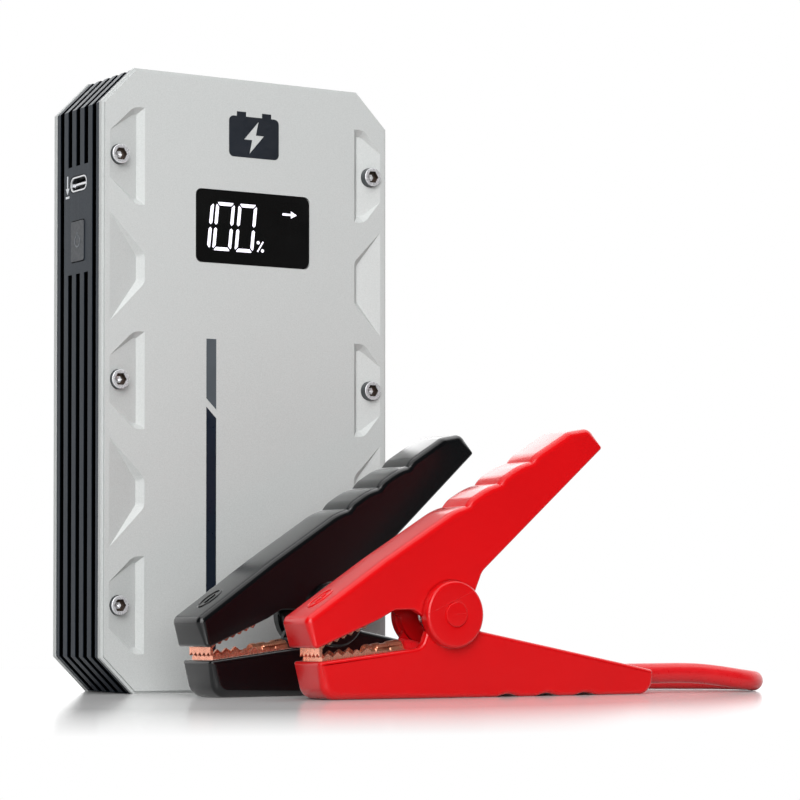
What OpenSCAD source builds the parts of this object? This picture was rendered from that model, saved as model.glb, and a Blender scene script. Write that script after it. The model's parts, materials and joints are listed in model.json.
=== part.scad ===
// Jump starter pack with a display, two battery clamps on leads, and their plug.
// Millimetres, +Z up. The origin is the middle of the pack's base, and the display faces -Y.

/* [Pack] */
// Width across the front plate
pack_w = 106; // [90:1:130]
// Height of the front plate
pack_h = 200; // [170:1:230]
// Depth from plate to plate
pack_d = 36.5; // [30:0.5:45]
// Leg of the cut corners
pack_cut = 11.6; // [6:0.5:18]
// Thickness of the front and rear plates
plate_t = 2.5; // [2:0.1:4]
// Depth of the grooves in the side frame
groove_d = 2.6; // [1:0.1:3]
// Thickness of the frame's wall behind the grooves
wall_t = 2.4; // [1.6:0.1:4]

/* [Screws] */
// Distance of the screws from the plate's side edge
screw_in = 6.1; // [5:0.1:9]
// Height from the middle row of screws to the top and bottom rows
screw_rise = 71.8; // [60:0.1:85]
// Radius of a screw's head
head_r = 3.1; // [2.5:0.1:4]
// Height of a screw's head
head_h = 3; // [1:0.1:4]

/* [Display] */
// Width of the window
window_w = 42.5; // [30:0.5:60]
// Height of the window
window_h = 24; // [16:0.5:36]
// Distance of the window's middle from the pack's middle
window_x = 1.7; // [-10:0.1:10]
// Height of the window's middle above the base
window_z = 151.2; // [120:0.1:170]

/* [Controls and sockets] */
// Height of the charging port
usb_z = 164.2; // [150:0.1:170]
// Height of the power button's middle
button_z = 145.6; // [120:0.1:155]
// Travel of the power button
button_travel = 0.8; // [0.4:0.1:1.5]
// Height of the output socket's middle
socket_z = 150; // [120:1:165]
// Height of the flat socket's middle
usb_a_z = 122; // [100:1:130]
// Distance between the output socket's two contacts
contact_pitch = 7.2; // [6.8:0.1:8.4]
// Radius of the bore in each contact
contact_r = 2.5; // [2:0.1:3]
// How far the port cover is drawn open
cover_angle = 0; // [0:1:120]

/* [Clamps] */
// Width of a clamp's arms
arm_w = 16; // [12:0.5:22]
// Width over the two hub discs
hub_w = 22; // [18:0.5:28]
// Radius of a hub disc
hub_r = 10.3; // [8:0.1:14]
// Height of the pivot above the floor
pivot_z = 25.4; // [20:0.1:30]
// Radius of the pivot pin
pin_r = 2.5; // [1.5:0.1:3.5]
// Thickness of an arm's side walls
arm_wall = 2.2; // [1.6:0.1:3]
// Opening angle that the clamps are drawn at
clamp_angle = 0; // [0:1:36]
// Red clamp's pivot, to the right of the pack's middle
red_x = 23.5; // [0:0.5:50]
// Red clamp's pivot, in front of the pack's middle
red_y = -95.25; // [-120:0.25:-80]
// Black clamp's pivot, to the right of the pack's middle
black_x = 6; // [-20:0.5:40]
// Black clamp's pivot, in front of the pack's middle
black_y = -53.25; // [-60:0.25:-45]
// Black clamp's turn about the vertical
black_turn = 6; // [0:1:10]

/* [Leads] */
// Diameter of a lead over its sleeve
lead_d = 6.5; // [5:0.1:8]
// Sides of a lead's cross-section
lead_sides = 12; // [8:2:16]

/* [Hidden] */
$fn = 48;
fit = 0.05;                      // running clearance on a radius
gap = 0.3;                       // space between pieces that don't touch
front_y = -pack_d / 2;
rear_y = pack_d / 2;
seal_t = 0.25;                   // gasket between a plate and the frame
frame_d = pack_d - 2 * plate_t - 2 * seal_t;
frame_y = -frame_d / 2;
groove_count = 5;
rib_t = 2.95;                    // width of a groove, and of the ribs between the grooves
side_x = pack_w / 2;
inner_x = side_x - groove_d - wall_t;
panel_low = 135.1;                 // heights of the flat panels' ends, left side then right
panel_high = 170;
out_low = 106;
out_high = 169;
hinge_x = side_x + 1.7;          // axis of the port cover
hinge_z = socket_z + 10.2;
ear_y = 7.2;
screw_x = side_x - screw_in;
mid_z = pack_h / 2;
screw_zs = [mid_z - screw_rise, mid_z, mid_z + screw_rise];
pocket_depth = 2.1;              // of a plate pocket at the foot of its inner wall
pocket_start = 2.6;              // from a plate's side edge to where the pocket floors begin
left_reach = 15.1;               // from the left edge to the inner walls, at the surface
right_reach = 12.8;
pocket_top = 2;                  // how far the cutting shapes stand above the surface
head_seat = floor_fall(right_reach) * (screw_in + head_r - pocket_start);
shank_r = 1.45;
hole_r = 1.6;
boss_r = 4.2;
digit_h = 15.8;
digit_w = 6.9;
bar_t = 1.1;
ink_t = 0.06;                    // how far printed marks stand proud

// Outlines

function unit(v) = v / norm(v);

// Points of an arc of radius r that rounds the corner at b, between a and c.
function corner(a, b, c, r, n) =
    r <= 0 ? [b] :
    let (u = unit(a - b), w = unit(c - b), half = acos(u * w) / 2,
         t = r / tan(half), m = b + unit(u + w) * r / sin(half),
         s = b + u * t - m, e = b + w * t - m,
         from = atan2(s[1], s[0]), turn = (atan2(e[1], e[0]) - from + 540) % 360 - 180)
    [for (k = [0:n]) m + r * [cos(from + turn * k / n), sin(from + turn * k / n)]];

// A closed outline from corners [x, y, radius].
function rounded(p, n = 5) =
    [for (i = [0:len(p) - 1])
        let (before = p[(i + len(p) - 1) % len(p)], here = p[i], after = p[(i + 1) % len(p)])
        each corner([before[0], before[1]], [here[0], here[1]], [after[0], after[1]],
            here[2], n)];

function octagon(w, low, high, cut) = [[-w + cut, low], [w - cut, low], [w, low + cut],
    [w, high - cut], [w - cut, high], [-w + cut, high], [-w, high - cut], [-w, low + cut]];

// Corners of a box with rounded corners, for rounded().
function soft_box(w, h, r) = [[-w / 2, -h / 2, r], [w / 2, -h / 2, r],
    [w / 2, h / 2, r], [-w / 2, h / 2, r]];

// Stands an X-Z outline up and gives it a depth from y0 to y1.
module upright(y0, y1) {
    translate([0, y1, 0]) rotate([90, 0, 0]) linear_extrude(y1 - y0) children();
}

// Gives a Y-Z outline a length along X from x0 to x1.
module along_x(x0, x1) {
    translate([x0, 0, 0]) rotate([90, 0, 90]) linear_extrude(x1 - x0) children();
}

module pack_outline(inset = 0) {
    cut = pack_cut - inset * (2 - sqrt(2));
    polygon(octagon(side_x - inset, inset, pack_h - inset, cut));
}

module rod_y(r, y0, y1) {
    translate([0, y1, 0]) rotate([90, 0, 0]) cylinder(r = r, h = y1 - y0);
}

module rod_x(r, x0, x1) {
    translate([x0, 0, 0]) rotate([0, 90, 0]) cylinder(r = r, h = x1 - x0);
}

module at_screws() {
    for (side = [-1, 1], z = screw_zs) translate([side * screw_x, 0, z]) children();
}

// Plates

// How steeply a pocket's floor falls from the surface to the foot of its inner wall.
function floor_fall(reach) = pocket_depth / (reach - pocket_depth - pocket_start);

// Everything on the inner side of a pocket's wall. The wall passes through a and b at the
// surface, both given as [distance from the plate's edge, height], and leans in at 45 degrees.
module inside_wall(a, b) {
    size = 120;
    translate([a[0], 0, a[1]]) rotate([0, -atan2(b[1] - a[1], b[0] - a[0]), 0])
        rotate([-45, 0, 0]) translate([-size / 2, -size / 2, -size]) cube(size);
}

// One pocket at the left edge, from the upper half of its outline: [from the edge, up, radius].
module edge_pocket(reach, upper) {
    fall = floor_fall(reach);
    outside = upper[0][0];
    line = rounded(concat([[outside, 0, 0]], upper, [[reach, 0, 0]]), 2);
    foot = reach - pocket_depth;
    intersection() {
        translate([0, 0, -25]) linear_extrude(50) polygon([[outside, -pocket_top],
            [outside, fall * (outside - pocket_start)], [foot, pocket_depth],
            [reach + pocket_top, -pocket_top]]);
        intersection_for(i = [1:len(line) - 3]) intersection() {
            inside_wall(line[i], line[i + 1]);
            mirror([0, 0, 1]) inside_wall(line[i], line[i + 1]);
        }
    }
}

module pockets_along(reach) {
    outside = -4;                // the outlines run on past the plate's edge to here
    screw_half = 15.6;           // half height of a screw pocket at its inner wall
    screw_bend = reach - 3.9;    // where its outline turns towards the edge
    edge_half = 4.9;             // its half height at the edge
    screw_lean = (screw_half - edge_half) / screw_bend;
    plain_edge = 20.2;           // half height of a plain pocket at the edge
    plain_lean = 1.03;
    for (z = screw_zs) translate([0, 0, z])
        edge_pocket(reach, [[outside, edge_half + outside * screw_lean, 0],
            [screw_bend, screw_half, 4], [reach, screw_half, 0]]);
    for (side = [-1, 1]) translate([0, 0, mid_z + side * screw_rise / 2])
        edge_pocket(reach, [[outside, plain_edge - outside * plain_lean, 0],
            [reach, plain_edge - reach * plain_lean, 3]]);
}

module plate_pockets() {
    translate([-side_x, front_y, 0]) pockets_along(left_reach);
    translate([side_x, front_y, 0]) mirror([1, 0, 0]) pockets_along(right_reach);
}

// The thick strip behind the pockets, inside the frame.
module plate_strip() {
    translate([-42.9, front_y + plate_t - 0.1, 11]) cube([6.4, 1, 178]);
}

module plain_plate() {
    bevel = 0.9;
    difference() {
        union() {
            upright(front_y + bevel, front_y + plate_t) pack_outline();
            upright(front_y, front_y + bevel) pack_outline(bevel);
            plate_strip();
            mirror([1, 0, 0]) plate_strip();
        }
        plate_pockets();
        at_screws() rod_y(hole_r, front_y - 1, front_y + plate_t + 1);
        at_screws() rod_y(head_r + 0.15, front_y - 1, front_y + head_seat);
    }
}

module front_plate() {
    color("#c8cbca") difference() {
        plain_plate();
        translate([window_x, 0, window_z]) upright(front_y - 1, front_y + plate_t + 1)
            polygon(rounded(soft_box(window_w, window_h, 2)));
    }
}

module rear_plate() {
    color("#c8cbca") mirror([0, 1, 0]) plain_plate();
}

module gasket() {
    color("#202224") difference() {
        upright(-seal_t, 0) pack_outline(groove_d);
        upright(-seal_t - 1, 1) pack_outline(groove_d + 1.8);
        at_screws() rod_y(hole_r, -seal_t - 1, 1);
    }
}

// Side frame

module screw_boss() {
    difference() {
        intersection() {
            union() {
                rod_y(boss_r, frame_y, -frame_y);
                translate([0, frame_y, -boss_r])
                    cube([screw_in, frame_d, 2 * boss_r]);
            }
            translate([-boss_r - 1, frame_y, -boss_r - 1])
                cube([boss_r + 1 + screw_in - groove_d - 0.2, frame_d, 2 * boss_r + 2]);
        }
        rod_y(hole_r, frame_y - 1, -frame_y + 1);
    }
}

module frame_grooves() {
    for (k = [0:groove_count - 1]) {
        y = (2 * k - groove_count + 0.5) * rib_t;
        difference() {
            upright(y, y + rib_t) pack_outline(-1);
            upright(y - 1, y + rib_t + 1) pack_outline(groove_d);
            if (k > 0 && k < groove_count - 1) {
                translate([-side_x - 2, y - 1, panel_low])
                    cube([groove_d + 4, rib_t + 2, panel_high - panel_low]);
                translate([side_x - groove_d - 2, y - 1, out_low])
                    cube([groove_d + 4, rib_t + 2, out_high - out_low]);
            }
            translate([-20, y - 1, -2]) cube([40, rib_t + 2, groove_d + 4]);
        }
    }
}

module usb_opening() {
    translate([0, 0, usb_z]) along_x(-side_x - 1, -inner_x + 1)
        polygon(rounded(soft_box(12.6, 5.4, 2.6)));
}

module button_opening() {
    translate([0, 0, button_z]) along_x(-side_x - 1, -inner_x + 1)
        polygon(rounded(soft_box(10, 13.6, 1)));
}

module side_frame() {
    color("#464d56") {
        difference() {
            upright(frame_y, -frame_y) pack_outline(0.25);
            upright(frame_y - 1, -frame_y + 1) pack_outline(groove_d + wall_t);
            frame_grooves();
            usb_opening();
            button_opening();
            translate([0, 0, socket_z]) along_x(inner_x - 1, side_x + 1)
                polygon(rounded(soft_box(17.6, 15.6, 2)));
            translate([0, 0, usb_a_z]) along_x(inner_x - 1, side_x + 1)
                polygon(rounded(soft_box(15.2, 7.6, 0.8)));
            at_screws() rod_y(hole_r, frame_y - 1, -frame_y + 1);
        }
        for (side = [0, 1], z = screw_zs) mirror([side, 0, 0])
            translate([screw_x, 0, z]) screw_boss();
    }
}

// The two ears that hold the cover's pin.
module cover_ears() {
    root = side_x - 0.25 - hinge_x;
    color("#464d56") for (side = [0, 1]) mirror([0, side, 0]) translate([hinge_x, 0, hinge_z])
        difference() {
            union() {
                rod_y(1.3, ear_y, ear_y + 1.8);
                translate([root, ear_y, -0.8]) cube([-root, 1.8, 1.6]);
            }
            rod_y(0.8 + fit, ear_y - 1, ear_y + 3);
        }
}

// Screws

module cap_screw() {
    difference() {
        union() {
            rod_y(head_r, -head_h + 0.4, 0);
            translate([0, -head_h, 0]) rotate([-90, 0, 0])
                cylinder(r1 = head_r - 0.4, r2 = head_r, h = 0.4);
            rod_y(shank_r, -0.2, 9);
        }
        translate([0, -head_h - 1, 0]) rotate([-90, 0, 0]) cylinder(r = 2.1, h = 3, $fn = 6);
    }
}

module plate_screws() {
    color("#b9bcbe") at_screws() translate([0, front_y + head_seat, 0]) cap_screw();
}

// Front marks and display

module front_badge() {
    // A battery with a bolt left open in it.
    color("#0e1824") translate([1.9, 0, 181.2]) upright(front_y - ink_t, front_y) {
        difference() {
            polygon(rounded(soft_box(18.6, 13.4, 1.7)));
            polygon([[1.7, 5.4], [-3.7, -0.8], [-0.7, -0.8], [-1.7, -5.4], [3.7, 0.8], [0.7, 0.8]]);
        }
        for (x = [-4.7, 4.7]) translate([x, 7.4]) square([3.4, 1.6], center = true);
    }
}

module port_mark() {
    // An arrow into a bar, beside the charging port.
    color("#cfd3d8") translate([0, 7.8, usb_z - 0.4]) along_x(-side_x + 0.19, -side_x + 0.25) {
        polygon([[-0.35, 3.6], [-0.35, -0.4], [-1.3, -0.4], [0, -2.4], [1.3, -0.4], [0.35, -0.4],
            [0.35, 3.6]]);
        translate([0, -3.3]) square([2.6, 0.7], center = true);
    }
}

module front_stripe() {
    color("#484d53") upright(front_y - ink_t, front_y)
        polygon([[-15.6, 114.5], [-12, 114.5], [-12, 91.6], [-15.6, 95.2]]);
}

module lower_stripe() {
    color("#0e1824") upright(front_y - ink_t, front_y)
        polygon([[-15.6, 92.4], [-12, 88.8], [-12, 12], [-15.6, 12]]);
}

module display_lens() {
    color("#0a0b0d") translate([window_x, 0, window_z]) union() {
        upright(front_y + 0.1, front_y + plate_t + 0.2)
            polygon(rounded(soft_box(window_w - 0.2, window_h - 0.2, 2.7)));
        upright(front_y + plate_t + 0.1, front_y + plate_t + 0.9)
            polygon(rounded(soft_box(window_w + 3, window_h + 3, 2)));
    }
}

// The upper right bar of a digit, in the digit's own frame.
module side_bar() {
    x = digit_w / 2;
    top = digit_h / 2;
    polygon([[x, 1], [x, top - 1.1], [x - 0.3, top - 0.7], [x - bar_t, top - bar_t - 0.5],
        [x - bar_t, 1], [x - bar_t / 2, 0.45]]);
}

module top_bar() {
    x = digit_w / 2;
    top = digit_h / 2;
    polygon([[0.6 - x, top - 0.25], [0.75 - x, top], [x - 0.75, top], [x - 0.6, top - 0.25],
        [x - bar_t - 0.25, top - bar_t], [bar_t + 0.25 - x, top - bar_t]]);
}

module digit_one() {
    for (up = [0, 1]) mirror([0, up]) side_bar();
}

module digit_zero() {
    for (side = [0, 1]) mirror([side, 0]) digit_one();
    for (up = [0, 1]) mirror([0, up]) top_bar();
}

module display_digits() {
    slant = 0.102;
    color("#ebe8f5") translate([window_x, 0, window_z])
        upright(front_y + 0.04, front_y + 0.1) {
            multmatrix([[1, slant, 0, 0], [0, 1, 0, 0], [0, 0, 1, 0], [0, 0, 0, 1]]) {
                translate([-18.75, 0.1]) digit_one();
                for (x = [-11, -2.76]) translate([x, 0.1]) digit_zero();
            }
            // The small percent sign
            translate([2.65, -5.6]) {
                for (s = [-1, 1]) translate([-0.8 * s, 1.3 * s]) circle(r = 0.55, $fn = 16);
                rotate(58) square([4, 0.45], center = true);
            }
            // A small arrow that points out of the pack
            translate([13.7, 5.7]) polygon([[-2.7, 0.35], [0.5, 0.35], [0.5, 1.15], [2.7, 0],
                [0.5, -1.15], [0.5, -0.35], [-2.7, -0.35]]);
        }
}

module display_module() {
    color("#16181a") translate([window_x, 0, window_z])
        upright(front_y + plate_t + 0.9, front_y + plate_t + 4)
        polygon(rounded(soft_box(window_w + 2, window_h + 2, 1)));
}

// Boards, cells and what joins them

module main_board() {
    color("#1d5c38") difference() {
        translate([-42, -10.4, 128]) cube([84, 1.6, 62]);
        for (x = [-38, 38], z = [132, 186]) translate([x, 0, z]) rod_y(hole_r, -12, -8);
    }
}

module side_board() {
    color("#1d5c38") translate([-side_x + 9.1, -8.5, 134]) cube([1.2, 17, 33.5]);
}

module board_parts() {
    color("#26282b") {
        for (x = [-20, -6, 8]) translate([x, -8.8, 176]) cube([9, 2.6, 9]);
        for (x = [-30, -18, -6]) translate([x, -8.8, 134]) cube([6.5, 1.2, 6.5]);
        translate([6, -8.8, 134]) cube([14, 7, 6]);
        for (x = [-28, -12]) translate([x, -8.8, 160]) rotate([-90, 0, 0]) cylinder(r = 4, h = 9);
    }
}

module heat_sink() {
    color("#9fa3a6") {
        translate([-4, -8.8, 146]) cube([30, 2, 24]);
        for (k = [0:6]) translate([-4 + k * 4.7, -6.8, 146]) cube([1.8, 7, 24]);
    }
}

module usb_c_port() {
    color("#8d9196") {
        difference() {
            translate([0, 0, usb_z]) along_x(-side_x + 0.4, -side_x + 9.1)
                polygon(rounded(soft_box(12, 4.8, 2.3)));
            translate([0, 0, usb_z]) along_x(-side_x, -side_x + 1.6)
                polygon(rounded(soft_box(11.1, 3.9, 1.9)));
            translate([0, 0, usb_z]) along_x(-side_x, -side_x + 7.5)
                polygon(rounded(soft_box(9, 3.4, 1.65)));
        }
        translate([-side_x + 1.2, -3.7, usb_z - 0.35]) cube([6.7, 7.4, 0.7]);
    }
}

module usb_a_port() {
    color("#b4b7ba") {
        difference() {
            translate([0, 0, usb_a_z]) along_x(39, side_x - 0.3)
                polygon(rounded(soft_box(14.6, 7, 0.6)));
            translate([0, 0, usb_a_z]) along_x(40, side_x)
                polygon(rounded(soft_box(13.4, 5.8, 0.3)));
        }
        translate([39.5, -5.6, usb_a_z + 0.6]) cube([11, 11.2, 1.8]);
    }
}

module power_button() {
    color("#3a4048") translate([0, 0, button_z]) {
        along_x(-side_x, -side_x + 4.2) polygon(rounded(soft_box(9.4, 13, 0.8)));
        along_x(-side_x + 5.3, -side_x + 6.3) square([12, 15.8], center = true);
        along_x(-side_x + 4.1, -side_x + 5.4) square([7, 11], center = true);
    }
}

module button_mark() {
    // The power sign: a ring with a gap, and a stroke in the gap.
    color("#25292e") translate([0, 0, button_z]) along_x(-side_x - ink_t, -side_x) {
        difference() {
            circle(r = 2.1, $fn = 32);
            circle(r = 1.6, $fn = 32);
            translate([0, 2]) square([1.6, 2], center = true);
        }
        translate([0, 1.7]) square([0.5, 2.4], center = true);
    }
}

module button_switch() {
    color("#17191b") {
        translate([-side_x + 7.3, -3, button_z - 3]) cube([1.8, 6, 6]);
    }
}

module output_socket() {
    color("#23262a") difference() {
        union() {
            translate([0, 0, socket_z]) along_x(30, side_x + 0.4)
                polygon(rounded(soft_box(17.2, 15.2, 1.8)));
            translate([0, 0, socket_z]) along_x(inner_x - 2.4, inner_x - 0.2)
                polygon(rounded(soft_box(21.6, 19.6, 1)));
        }
        translate([0, 0, socket_z]) along_x(side_x - 9, side_x + 1)
            polygon(rounded(soft_box(12, 13.2, 1.2)));
        for (s = [-1, 1]) translate([0, 0, socket_z + s * contact_pitch / 2])
            rod_x(contact_r + 0.5, 29, side_x - 8);
    }
}

module socket_contacts() {
    color("#c9a24a") for (s = [-1, 1])
        translate([0, 0, socket_z + s * contact_pitch / 2]) difference() {
            rod_x(contact_r + 0.5, 28, side_x - 9);
            rod_x(contact_r, 30, side_x - 8);
        }
}

module cover_pin() {
    color("#8f9498") translate([hinge_x, 0, hinge_z]) rod_y(0.8, -ear_y - 1.9, ear_y + 1.9);
}

module port_cover() {
    flap_x = side_x + 0.8;
    color("#1c1e20") translate([hinge_x, 0, hinge_z]) rotate([0, -cover_angle, 0])
        translate([-hinge_x, 0, -hinge_z]) difference() {
            union() {
                translate([0, 0, socket_z - 0.6]) along_x(flap_x, flap_x + 1.6)
                    polygon(rounded(soft_box(17, 17, 2)));
                translate([flap_x, -6.6, socket_z + 6]) cube([1.6, 13.2, 3.6]);
                translate([flap_x, -4, socket_z - 10.6]) cube([2.6, 8, 2.4]);
                translate([hinge_x, 0, hinge_z]) rod_y(1.5, -6.6, 6.6);
            }
            translate([hinge_x, 0, hinge_z]) rod_y(0.8 + fit, -8, 8);
        }
}

module bus_bars() {
    color("#b87333") {
        translate([26.8, -3, 124.4]) cube([1.2, 6, socket_z - 124.8]);
        translate([26.8, -3, socket_z + 0.6]) cube([1.2, 13, 6]);
        translate([26.8, 5, 124.4]) cube([1.2, 5, socket_z - 122]);
    }
}

module cell(number) {
    cell_t = 6.4;
    y = -13.6 + (number - 1) * (cell_t + 0.4);
    color("#b9bec4") {
        translate([-33, y, 8]) cube([66, cell_t, 112]);
        for (x = [-22, 14]) translate([x, y + 3, 119.9]) cube([8, 0.4, 4]);
    }
}

module cell_1() { cell(1); }
module cell_2() { cell(2); }
module cell_3() { cell(3); }
module cell_4() { cell(4); }

module cell_tray() {
    color("#1e2022") difference() {
        translate([-35, -14.4, 5.2]) cube([70, 28.6, 18]);
        translate([-33.4, -13.8, 7.8]) cube([66.8, 27.4, 18]);
    }
}

// Clamps. Each is built round its own pivot, jaws to -X, and then put in its place.

module red_place() {
    translate([red_x, red_y, 0]) children();
}

module black_place() {
    translate([black_x, black_y, 0]) rotate([0, 0, black_turn]) children();
}

module opened() {
    translate([0, 0, pivot_z]) rotate([0, clamp_angle, 0]) translate([0, 0, -pivot_z]) children();
}

arm_y = arm_w / 2;
slot_y = arm_y - arm_wall;       // half width of the channel inside the arms
ear_in = arm_y - 0.35;           // half width of the upper arm at the hub
lower_end = 77;                  // where the lower arm ends and the lead comes out

// A row of n shallow finger dips in an edge from a to b, each as wide as its spacing allows.
module finger_dips(a, b, n, depth, share) {
    step = (b - a) / n;
    chord = norm(step) * share;
    r = chord * chord / (8 * depth) + depth / 2;
    rise = unit([step[1], -step[0]]);
    for (k = [0:n - 1]) translate(a + step * (k + 0.5) + rise * (r - depth)) circle(r = r);
}

module upper_outline() {
    difference() {
        polygon(rounded([[-51.1, 24.06, 2.5], [-23.3, 42.2, 0], [-0.5, 56, 0], [44.6, 82.65, 5],
            [52.8, 84.1, 3.5], [57, 77.8, 0.8], [11.6, 38.6, 6], [8.4, 31, 0], [6, 20, 0], [-6, 20, 0],
            [-9.2, 24.6, 1], [-13.4, 26.9, 3], [-20, 26.8, 4], [-25, 24.2, 3],
            [-47.8, 15, 1.5]]));
        finger_dips([35, 76.95], [-1, 55.75], 3, 0.9, 0.68);
    }
}

module upper_arm() {
    difference() {
        union() {
            upright(-arm_y, arm_y) upper_outline();
            translate([0, 0, pivot_z]) rod_y(hub_r - 0.9, -ear_in, ear_in);
        }
        // The channel, open towards the lower arm
        upright(-slot_y, slot_y) polygon([[-46.9, 5], [-46.9, 23.6], [-22.8, 39.4],
            [-0.3, 53], [46.8, 81], [53.4, 75.6], [62, 60], [62, 5]]);
        for (side = [0, 1]) mirror([0, side, 0])
            translate([0, 0, pivot_z]) rod_y(hub_r + 0.5, ear_in, arm_y + 1);
        translate([0, 0, pivot_z]) rod_y(pin_r + fit, -arm_y, arm_y);
    }
}

module lower_outline() {
    difference() {
        polygon(rounded([[-46.7, 11.3, 1], [-13.8, 15, 0], [-10.4, 15.6, 3], [-8.6, 20.4, 0],
            [0, 24, 0], [11.9, 20.2, 1], [69, 9.2, 0], [lower_end, 7.6, 1],
            [lower_end - 0.4, 0, 5], [-44.4, 0, 5]]));
        finger_dips([14, 0], [58, 0], 3, 0.8, 0.52);
    }
}

module lower_arm() {
    difference() {
        union() {
            difference() {
                upright(-arm_y, arm_y) lower_outline();
                translate([0, 0, pivot_z]) rod_y(hub_r - 0.4, -arm_y - 1, arm_y + 1);
            }
            for (side = [0, 1]) mirror([0, side, 0]) {
                translate([0, 0, pivot_z]) rod_y(hub_r, ear_in + 0.25, hub_w / 2);
                translate([0, 0, pivot_z]) rod_y(3.8, hub_w / 2 - 0.1, hub_w / 2 + 0.5);
            }
        }
        // The channel, open towards the upper arm; the lead lies along its floor
        upright(-slot_y, slot_y) polygon([[-44.9, 30], [-44.3, 3], [90, 3], [90, 30]]);
        translate([0, 0, pivot_z]) rod_y(pin_r + 0.01, -hub_w / 2 + 1, hub_w / 2 - 1);
    }
}

module pivot_pin() {
    translate([0, 0, pivot_z]) rod_y(pin_r, -hub_w / 2 + 1.1, hub_w / 2 - 1.1);
}

// Points of a row of n teeth from a to b, each tall high.
function teeth(a, b, n, tall) = [for (k = [0:n]) each k == n ? [b] :
    [a + (b - a) * k / n, a + (b - a) * (k + 0.5) / n + [0, tall]]];

jaw_t = 1;                       // thickness of the copper sheet
jaw_y = slot_y - 0.1;

module lower_jaw() {
    color("#c8704a") {
        for (side = [0, 1]) mirror([0, side, 0]) upright(jaw_y - jaw_t, jaw_y)
            polygon(concat(teeth([-44, 12.3], [-27, 14.3], 5, 1.3), [[-15, 15], [-15, 8],
                [-43.8, 5]]));
        upright(-jaw_y, jaw_y) polygon([[-43.8, 5], [-15, 8], [-15, 9], [-44, 6]]);
        along_x(-44.2, -43.2) polygon(concat(teeth([-jaw_y, 12.4], [jaw_y, 12.4], 5, 1),
            [[jaw_y, 5.2], [-jaw_y, 5.2]]));
    }
}

module upper_jaw() {
    color("#c8704a") {
        for (side = [0, 1]) mirror([0, side, 0]) upright(jaw_y - jaw_t, jaw_y)
            polygon(concat(teeth([-45.2, 15.9], [-28, 22.7], 7, -1), [[-24, 26], [-27, 29],
                [-45.2, 21]]));
        upright(-jaw_y, jaw_y) polygon([[-45.2, 21], [-27, 29], [-27, 30], [-45.2, 22]]);
        along_x(-45.2, -44.2) polygon(concat(teeth([-jaw_y, 12.8], [jaw_y, 12.8], 5, 1),
            [[jaw_y, 21.4], [-jaw_y, 21.4]]));
    }
}

// A tube of radius r along a line of points; ref is a direction that the line never takes.
module swept(line, r, sides, ref = [0, 0, 1]) {
    last = len(line) - 1;
    rings = [for (i = [0:last])
        let (t = unit(line[min(i + 1, last)] - line[max(i - 1, 0)]),
             u = unit(cross(ref, t)), w = cross(t, u))
        each [for (k = [0:sides - 1])
            line[i] + r * (cos(360 * k / sides) * u + sin(360 * k / sides) * w)]];
    walls = [for (i = [0:last - 1], k = [0:sides - 1])
        let (n = (k + 1) % sides, a = i * sides)
        each [[a + k, a + sides + k, a + sides + n], [a + k, a + sides + n, a + n]]];
    ends = [[for (k = [0:sides - 1]) k], [for (k = [sides - 1:-1:0]) last * sides + k]];
    polyhedron(points = rings, faces = concat(walls, ends), convexity = 6);
}

// Halves the steps of a line with a smooth curve through its points.
function finer(p) = let (q = len(p) - 1)
    [for (i = [0:q]) each i == q ? [p[q]] :
        [p[i], (9 * (p[i] + p[i + 1]) - p[max(i - 1, 0)] - p[min(i + 2, q)]) / 16]];

// A torsion coil round the pivot pin, with a leg against each arm.
module spring() {
    wire = 0.6;
    coil_r = 4.2;
    half = 3.6;
    first = 150;                 // where the leg to the upper arm leaves the coil
    swing = 4 * 360 + 78;
    steps = 60;
    upper_leg = 38.5;
    lower_leg = 27.6;
    last = first + swing;
    coil = [for (k = [0:steps]) let (a = first + swing * k / steps)
        [coil_r * cos(a), -half + 2 * half * k / steps, coil_r * sin(a)]];
    upper_tip = coil[0] + upper_leg * [sin(first), 0, -cos(first)];
    lower_tip = coil[steps] + lower_leg * [-sin(last), 0, cos(last)] + [0, 1, 0];
    translate([0, 0, pivot_z]) swept(concat([upper_tip], coil, [lower_tip]), wire, 8, [0, 1, 0]);
}

module crimp() {
    color("#a9583a") translate([-13.5, 0, 15]) rotate([0, -7.6, 0]) rod_x(3.1, -13.6, 0);
}

// The stretch of lead inside the lower arm, from the crimp to the arm's end.
tail_route = [[-13.5, 0, 15], [-9, 0, 14.3], [-4, 0, 12.2], [1, 0, 9.4], [6, 0, 7.2], [12, 0, 6.4],
    [20, 0, 6.3], [32, 0, 6.3], [50, 0, 6.3], [lower_end - 0.5, 0, 6.3]];

module lead_tail() {
    swept(finer(tail_route), lead_d / 2, lead_sides);
}

// Leads from the clamps to the plug. The points are on the middle of the lead.

red_route = [[100, -95.25, 6.3], [108.5, -95.25, 6.3], [116.5, -95.75, 6.3], [124, -97.05, 6],
    [131, -98.75, 5.2], [138, -99.75, 4.2], [144.4, -98.05, 3.5], [149, -92.95, 3.3],
    [150.5, -85.95, 3.3], [149.2, -78.95, 3.3], [145.3, -73.35, 3.3], [138.5, -68.35, 3.3],
    [129.5, -62.75, 3.3], [119.5, -56.05, 3.3], [109.5, -47.95, 3.3], [101, -39.75, 3.3],
    [93.5, -30.25, 3.3], [88, -18.75, 3.3], [84, -6.75, 3.3], [79, 5.25, 3.3], [72, 15.75, 3.3],
    [63, 24.25, 3.3], [53, 29.25, 3.4], [44, 30.95, 5], [36, 31.15, 6.3], [28, 31.15, 6.5],
    [16, 31.15, 6.5]];

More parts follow.
